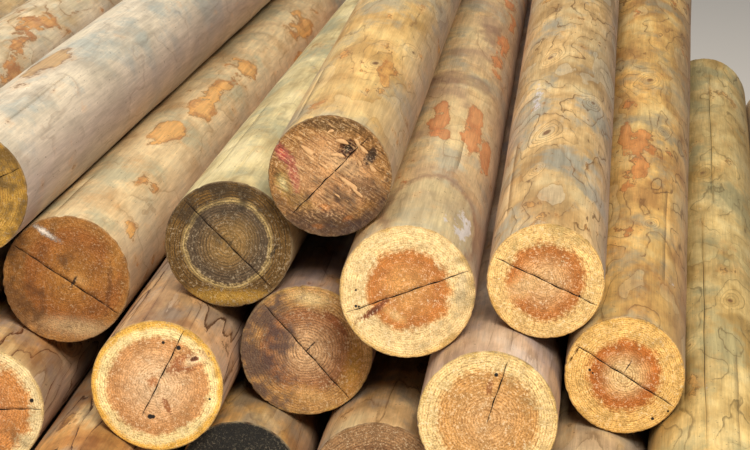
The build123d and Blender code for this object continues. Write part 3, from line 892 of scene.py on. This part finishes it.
    ripe = stretched_noise(tree, place, [c + 6.3 for c in offset], 0.7 * STAIN_SIZE, 2.2, 4.0, 0.6)
    inner = add(tree, "Math", {0: ripe, 1: 1.2, 2: islands}, operation="MULTIPLY_ADD")
    inner = add(tree, "MapRange", {"Value": inner, "From Min": edge + 0.58, "From Max": edge + 0.80})
    bark_colour = add(tree, "Mix", {0: inner, 6: linear(side.stain), 7: linear(side.inner)}, data_type="RGBA")
    glow = add(tree, "MapRange", {"Value": islands, "From Min": edge - 0.12, "From Max": edge + 0.02, "To Max": 0.3})
    colour = add(tree, "Mix", {0: glow, 6: colour, 7: linear("#E2A45A")}, data_type="RGBA")
    bark_weight = add(tree, "Math", {0: bark, 1: fading}, operation="MULTIPLY")
    colour = add(tree, "Mix", {0: bark_weight, 6: colour, 7: bark_colour}, data_type="RGBA")
    off_edge = add(tree, "Math", {0: islands, 1: edge + 0.012}, operation="SUBTRACT")
    off_edge = add(tree, "Math", {0: off_edge}, operation="ABSOLUTE")
    outline = add(tree, "MapRange", {"Value": off_edge, "From Min": 0.022, "From Max": 0.006, "To Max": 0.7})
    outline = add(tree, "Math", {0: outline, 1: faint}, operation="MULTIPLY")
    colour = add(tree, "Mix", {0: outline, 6: colour, 7: linear(side.line)}, data_type="RGBA")

    crust = stretched_noise(tree, place, [c + 4.6 for c in offset], 0.4 * STAIN_SIZE, 3.0, 5.0, 0.7)
    crust = add(tree, "Math", {0: sap, 1: 0.30, 2: crust}, operation="MULTIPLY_ADD")
    crust = add(tree, "MapRange", {"Value": crust, "From Min": 0.70, "From Max": 0.76, "To Max": 0.75})
    colour = add(tree, "Mix", {0: crust, 6: colour, 7: linear("#DCD8DC")}, data_type="RGBA")
    eye = add(tree, "MapRange", {"Value": knot, "From Min": 0.86, "From Max": 0.96, "To Max": 0.85})
    colour = add(tree, "Mix", {0: eye, 6: colour, 7: linear("#6E4420")}, data_type="RGBA")
    specks = stretched_noise(tree, place, offset, SPECK_SIZE, 2.5, 2.0)
    specks = add(tree, "MapRange", {"Value": specks, "From Min": 0.68, "From Max": 0.74, "To Max": 0.6})
    colour = add(tree, "Mix", {0: specks, 6: colour, 7: linear("#5E4630")}, data_type="RGBA")
    grain = stretched_noise(tree, place, offset, GRAIN_SIZE, 40.0, 3.0, 0.6)
    fine = add(tree, "MapRange", {"Value": grain, "From Min": 0.25, "From Max": 0.75, "To Min": 0.84, "To Max": 1.12})
    broad = add(tree, "MapRange", {"Value": streaks, "From Min": 0.3, "From Max": 0.7, "To Min": 0.80, "To Max": 1.16})
    streak = add(tree, "Math", {0: fine, 1: broad}, operation="MULTIPLY")
    colour = add(tree, "VectorMath", {0: colour, "Scale": streak}, operation="SCALE")
    # Painted shade: the deepest line of each split is painted near black, as the shade inside the groove.
    split_shade = add(tree, "MapRange", {"Value": split, "From Min": 0.25, "From Max": 0.75, "To Max": 0.92})
    colour = add(tree, "Mix", {0: split_shade, 6: colour, 7: linear("#1C140D")}, data_type="RGBA")

    height = add(tree, "Math", {0: line, 1: -0.5}, operation="MULTIPLY")
    height = add(tree, "Math", {0: streak, 1: 0.6, 2: height}, operation="MULTIPLY_ADD")
    height = add(tree, "Math", {0: bark, 1: 0.5, 2: height}, operation="MULTIPLY_ADD")
    bump = add(tree, "Bump", {"Height": height, "Distance": 0.5 * MM, "Strength": 0.8})
    roughness = add(tree, "MapRange", {"Value": tone, "To Min": 0.50, "To Max": 0.70})
    finish_material(tree, colour, roughness, bump, WOOD_IOR)
    return material


# %% [markdown]
# ## Sawn end grain
# A saw across the trunk opens the cut ends of millions of fibres. The surface looks granular and matt, and the growth
# rings circle the pith. Each ring is pale where it grew in spring and dark where it ended in autumn. The shader takes
# the distance from the pith, bends it with noise so that no ring is a true circle, and reads all else from it: the
# colour from core to rim, the rings themselves, and the dark line at the edge.

# %% Sawn end
GRIT_SIZE = 1.3 * MM
TUFT_SIZE = 3.0 * MM
RING_BEND = 9.0 * MM
MOTTLE_SIZE = 12 * MM
DIRT_SIZE = 24 * MM
TORN_SIZE = 1.7 * MM


def end_grain(name, end, offset):
    """Sawn end grain for both ends of one pole. Distances are in metres from the pole's axis."""
    material, tree = new_material(name)
    place = add(tree, "Attribute", attribute_name="place").outputs["Vector"]
    radius = add(tree, "Attribute", attribute_name="radius").outputs["Fac"]
    flat = add(tree, "VectorMath", {0: place, 1: (1, 0, 1)}, operation="MULTIPLY")
    own_place = add(tree, "Mapping", {"Vector": place, "Location": offset})
    centred = add(tree, "VectorMath", {0: flat, 1: (end.pith[0] * MM, 0, end.pith[1] * MM)}, operation="SUBTRACT")
    bend = add(tree, "TexNoise", {"Vector": own_place, "Scale": 26.0, "Detail": 5.0, "Roughness": 0.55})
    bend = add(tree, "VectorMath", {0: bend.outputs["Color"], 1: (0.5, 0.5, 0.5)}, operation="SUBTRACT")
    bent = add(tree, "VectorMath", {0: bend, 1: (RING_BEND, 0, RING_BEND), 2: centred}, operation="MULTIPLY_ADD")
    distance = add(tree, "VectorMath", {0: bent}, operation="LENGTH").outputs["Value"]
    share = add(tree, "Math", {0: distance, 1: radius}, operation="DIVIDE")
    from_axis = add(tree, "VectorMath", {0: flat}, operation="LENGTH").outputs["Value"]
    true_share = add(tree, "Math", {0: from_axis, 1: radius}, operation="DIVIDE")

    grit = add(tree, "TexNoise", {"Vector": place, "Scale": 1 / GRIT_SIZE, "Detail": 2.0, "Roughness": 0.6})
    tufts = add(tree, "TexNoise", {"Vector": own_place, "Scale": 1 / TUFT_SIZE, "Detail": 3.0, "Roughness": 0.7})
    mottle = add(tree, "TexNoise", {"Vector": own_place, "Scale": 1 / MOTTLE_SIZE, "Detail": 5.0, "Roughness": 0.7})
    shifted = add(tree, "Math", {0: mottle, 1: end.ragged, 2: share}, operation="MULTIPLY_ADD")
    shifted = add(tree, "Math", {0: tufts, 1: 0.30 * end.ragged, 2: shifted}, operation="MULTIPLY_ADD")
    shifted = add(tree, "Math", {0: shifted, 1: 0.65 * end.ragged}, operation="SUBTRACT")
    shades = add(tree, "ValToRGB", {"Fac": shifted})
    shades.color_ramp.elements[0].color = linear(end.core)
    shades.color_ramp.elements[1].position = 1.0
    shades.color_ramp.elements[1].color = linear(end.rim)
    band_start = end.heart_share + 0.35 * end.ragged
    band_stop = min(band_start + end.band_width, 0.94)
    for position, tint in ((end.heart_share * 0.30, end.core), (end.heart_share * 0.85, end.heart),
                           (end.heart_share, end.heart), (band_start, end.band), (band_stop, end.band),
                           (band_stop + 0.05, end.rim)):
        shades.color_ramp.elements.new(position).color = linear(tint)
    colour = shades.outputs["Color"]

    count = add(tree, "Math", {0: share, 1: 1.12}, operation="POWER")
    count = add(tree, "Math", {0: count, 1: float(end.rings)}, operation="MULTIPLY")
    part = add(tree, "Math", {0: count}, operation="FRACT")
    autumn = add(tree, "MapRange", {"Value": part, "From Min": 0.40, "From Max": 0.80}, interpolation_type="SMOOTHSTEP")
    year = add(tree, "TexWhiteNoise", {"W": add(tree, "Math", {0: count}, operation="FLOOR")}, noise_dimensions="1D")
    year = add(tree, "MapRange", {"Value": year.outputs["Value"], "To Min": 0.45})
    clear = add(tree, "MapRange", {"Value": mottle, "From Min": 0.62, "From Max": 0.42, "To Min": 0.35})
    autumn = add(tree, "Math", {0: autumn, 1: clear}, operation="MULTIPLY")
    autumn = add(tree, "Math", {0: autumn, 1: year}, operation="MULTIPLY")
    dark_ring = add(tree, "Math", {0: autumn, 1: 0.70 * end.clearness}, operation="MULTIPLY")
    colour = add(tree, "Mix", {0: dark_ring, 6: colour, 7: linear(end.late)}, data_type="RGBA")

    ragged = add(tree, "VectorMath", {0: bend, 1: (RING_BEND, 0, RING_BEND), 2: flat}, operation="MULTIPLY_ADD")
    for mark in end.marks:
        moved = add(tree, "VectorMath", {0: ragged, 1: (mark.x * MM, 0, mark.z * MM)}, operation="SUBTRACT")
        turned = add(tree, "VectorRotate", {"Vector": moved, "Angle": np.radians(mark.slant)}, rotation_type="Y_AXIS")
        scaled = add(tree, "VectorMath", {0: turned, 1: (1 / (mark.long_half * MM), 0, 1 / (mark.short_half * MM))},
                     operation="MULTIPLY")
        near = add(tree, "VectorMath", {0: scaled}, operation="LENGTH").outputs["Value"]
        blurred = add(tree, "Math", {0: tufts, 1: 2.0, 2: near}, operation="MULTIPLY_ADD")
        weight = add(tree, "MapRange", {"Value": blurred, "From Min": 2.2, "From Max": 1.7, "To Max": mark.strength})
        inside = add(tree, "MapRange", {"Value": blurred, "From Min": 1.70, "From Max": 1.30})
        tint = add(tree, "Mix", {0: inside, 6: linear(mark.outer), 7: linear(mark.inner)}, data_type="RGBA")
        colour = add(tree, "Mix", {0: weight, 6: colour, 7: tint}, data_type="RGBA")

    grain = add(tree, "Math", {0: tufts, 1: 1.6, 2: grit}, operation="MULTIPLY_ADD")
    spread = 0.16 + 0.26 * end.flecks
    tone = add(tree, "MapRange", {"Value": grain, "From Min": 1.06, "From Max": 1.54, "To Min": 1 - 0.8 * spread,
                                  "To Max": 1 + spread})
    colour = add(tree, "VectorMath", {0: colour, "Scale": tone}, operation="SCALE")
    broad = add(tree, "MapRange", {"Value": mottle, "From Min": 0.36, "From Max": 0.64, "To Min": 1.22, "To Max": 0.76})
    colour = add(tree, "VectorMath", {0: colour, "Scale": broad}, operation="SCALE")
    pale = add(tree, "MapRange", {"Value": grain, "From Min": 1.38, "From Max": 1.60, "To Max": 0.8 * end.flecks})
    patchy = add(tree, "MapRange", {"Value": mottle, "From Min": 0.38, "From Max": 0.60, "To Min": 0.25})
    pale = add(tree, "Math", {0: pale, 1: patchy}, operation="MULTIPLY")
    colour = add(tree, "Mix", {0: pale, 6: colour, 7: linear("#F4E4C2")}, data_type="RGBA")
    pores = add(tree, "MapRange", {"Value": grain, "From Min": 1.18, "From Max": 1.02, "To Max": 0.30})
    colour = add(tree, "Mix", {0: pores, 6: colour, 7: linear(end.late)}, data_type="RGBA")
    if end.torn:
        laid = add(tree, "VectorRotate", {"Vector": own_place, "Angle": np.radians(TORN_SLOPE)}, rotation_type="Y_AXIS")
        laid = add(tree, "Mapping", {"Vector": laid, "Scale": (0.10 / TORN_SIZE, 0, 1 / TORN_SIZE)})
        fibres = add(tree, "TexNoise", {"Vector": laid, "Scale": 1.0, "Detail": 4.0, "Roughness": 0.65})
        bare = add(tree, "MapRange", {"Value": mottle, "From Min": 0.44, "From Max": 0.58, "To Min": 0.25})
        light = add(tree, "MapRange", {"Value": fibres, "From Min": 0.50, "From Max": 0.62, "To Max": 0.7})
        light = add(tree, "Math", {0: light, 1: bare}, operation="MULTIPLY")
        colour = add(tree, "Mix", {0: light, 6: colour, 7: linear("#E4B880")}, data_type="RGBA")
        deep = add(tree, "MapRange", {"Value": fibres, "From Min": 0.48, "From Max": 0.36, "To Max": 0.6})
        colour = add(tree, "Mix", {0: deep, 6: colour, 7: linear("#5A3418")}, data_type="RGBA")
        moss = add(tree, "MapRange", {"Value": mottle, "From Min": 0.52, "From Max": 0.40, "To Max": 0.7})
        outer = add(tree, "MapRange", {"Value": true_share, "From Min": 0.5, "From Max": 0.95})
        moss = add(tree, "Math", {0: moss, 1: outer}, operation="MULTIPLY")
        colour = add(tree, "Mix", {0: moss, 6: colour, 7: linear("#4E3416")}, data_type="RGBA")
        grain = add(tree, "Math", {0: fibres, 1: 1.5, 2: grain}, operation="MULTIPLY_ADD")

    heading = np.radians(end.dirt_from)
    toward = (np.cos(heading), 0, np.sin(heading))
    lean = add(tree, "VectorMath", {0: flat, 1: toward}, operation="DOT_PRODUCT").outputs["Value"]
    lean = add(tree, "Math", {0: lean, 1: radius}, operation="DIVIDE")
    blots = add(tree, "TexNoise", {"Vector": own_place, "Scale": 1 / DIRT_SIZE, "Detail": 6.0, "Roughness": 0.68})
    blots = add(tree, "Math", {0: lean, 1: 0.17, 2: blots}, operation="MULTIPLY_ADD")
    brink = 0.68 - 0.2 * end.dirty
    blots = add(tree, "MapRange", {"Value": blots, "From Min": brink, "From Max": brink + 0.14,
                                   "To Max": min(0.30 + 0.6 * end.dirty, 0.85)})
    colour = add(tree, "Mix", {0: blots, 6: colour, 7: linear(end.dirt)}, data_type="RGBA")

    # Painted shade: each beetle hole is painted near black, as the shade inside it; the mesh has no hole there.
    for x, z, size in end.holes:
        away = add(tree, "VectorMath", {0: flat, 1: (x * MM, 0, z * MM)}, operation="DISTANCE").outputs["Value"]
        inside = add(tree, "MapRange", {"Value": away, "From Min": size * MM * 1.15, "From Max": size * MM * 0.8})
        colour = add(tree, "Mix", {0: inside, 6: colour, 7: linear("#120C08")}, data_type="RGBA")
    frayed = add(tree, "Math", {0: tufts, 1: 0.09, 2: true_share}, operation="MULTIPLY_ADD")
    edge = add(tree, "MapRange", {"Value": frayed, "From Min": 1.005, "From Max": 1.045, "To Max": 0.7})
    fringe = add(tree, "Mix", {0: patchy, 6: linear("#D8C49A"), 7: linear("#553A20")}, data_type="RGBA")
    colour = add(tree, "Mix", {0: edge, 6: colour, 7: fringe}, data_type="RGBA")

    height = add(tree, "Math", {0: autumn, 1: -0.15, 2: grain}, operation="MULTIPLY_ADD")
    bump = add(tree, "Bump", {"Height": height, "Distance": 1.1 * MM, "Strength": 0.9})
    roughness = add(tree, "MapRange", {"Value": grit, "To Min": 0.70, "To Max": 0.92})
    finish_material(tree, colour, roughness, bump, WOOD_IOR)
    return material


# %% [markdown]
# Little light reaches the inside of a crack, so its walls are painted a matt dark brown with a fine lengthwise grain:
# painted shade, not a colour of the wood. Splinters are the opposite, freshly torn and pale.

# %% Crack walls and splinters
crack_shade_paint, crack_tree = new_material("painted_shade_in_cracks")
crack_place = add(crack_tree, "Attribute", attribute_name="place").outputs["Vector"]
crack_grain = stretched_noise(crack_tree, crack_place, (0, 0, 0), 1.2 * MM, 20.0, 3.0)
# Painted shade: the crack walls are a dark brown that stands for the shade deep in the crack.
crack_shade_colour = add(crack_tree, "Mix", {0: crack_grain, 6: linear("#1E140C"), 7: linear("#3A2818")}, data_type="RGBA")
crack_bump = add(crack_tree, "Bump", {"Height": crack_grain, "Distance": 0.4 * MM})
finish_material(crack_tree, crack_shade_colour, 0.9, crack_bump, WOOD_IOR)
splinter_wood, splinter_tree = new_material("torn_pale_fibres")
splinter_place = add(splinter_tree, "Attribute", attribute_name="place").outputs["Vector"]
splinter_grain = add(splinter_tree, "TexNoise", {"Vector": splinter_place, "Scale": 1 / (2.2 * MM), "Detail": 3.0})
splinter_colour = add(splinter_tree, "Mix", {0: splinter_grain, 6: linear("#E8C492"), 7: linear("#B98550")},
                      data_type="RGBA")
splinter_bump = add(splinter_tree, "Bump", {"Height": splinter_grain, "Distance": 0.5 * MM})
finish_material(splinter_tree, splinter_colour, 0.75, splinter_bump, WOOD_IOR)
print("Materials ready for", len(SIDES), "sides and", len(ENDS), "ends")

# %% [markdown]
# All is ready to dress the poles. Each gets one closed mesh that replaces its CAD node and rides on the stack's only
# body. Poles that the camera sees get their own looks and the finer grid. The rest take a plain look, with their own
# stretch of the patterns, so that they differ too.

# %% Dress the poles
HIDDEN_ROW_STEP = 20.0


def dress(number, node):
    """Build one pole's mesh and materials, and put it in the place of its CAD node."""
    matrix, length, front_radius, back_radius = poles[node]
    side = SIDES.get(node, SIDE_CREAM)
    end = ENDS.get(node, PALE_END)
    front_slope, low, high, back_slope = CRACKS[node]
    random = np.random.default_rng(400 + number)
    first_step = FIRST_ROW_STEP if node in SIDES else HIDDEN_ROW_STEP
    points, marks = side_points(side, length / MM, front_radius / MM, back_radius / MM, (front_slope, back_slope),
                                first_step, random)
    rim_rows = len(RIM_ANGLES)
    parts = {"end": (slice(0, rim_rows), slice(-rim_rows, None)), "side": (slice(rim_rows - 1, 1 - rim_rows),)}
    blocks = [(points[rows], True, True, slot, {key: field[rows] for key, field in marks.items()})
              for slot, stretches in parts.items() for rows in stretches]
    ends = ((points[0], front_radius, front_slope, (low, high), 1),
            (points[-1], back_radius, 180 - back_slope, (1, 1), -1))
    for ring, radius, slope, reach, inward in ends:
        for grid, flip, slot in end_blocks(end, ring, slope, reach, inward, 900 + 2 * number + (inward > 0)):
            blocks.append((grid, False, flip, slot, {"radius": np.full(grid.shape[:2], radius)}))
    for blade in end.splinters:
        blocks.append((splinter(*blade, random.uniform(-1.5, 1.5)), True, True, "splinter", {}))
    mesh = build_mesh(node + "_peeled", matrix, blocks)
    offset = tuple(random.uniform(-20, 20, 3))
    mesh.materials.append(peeled_pine("peeled_pine_" + node, side, offset))
    mesh.materials.append(end_grain("sawn_end_grain_" + node, end, offset))
    mesh.materials.append(crack_shade_paint)
    mesh.materials.append(splinter_wood)
    pole = bpy.data.objects.new(node + "_peeled", mesh)
    bpy.context.scene.collection.objects.link(pole)
    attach(pole, "root")
    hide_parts(node)
    return sum(len(face.vertices) - 2 for face in mesh.polygons)


triangles = [dress(number, node) for number, node in enumerate(poles)]
print("Triangles:", sum(triangles), "in all,", max(triangles), "on the largest piece")
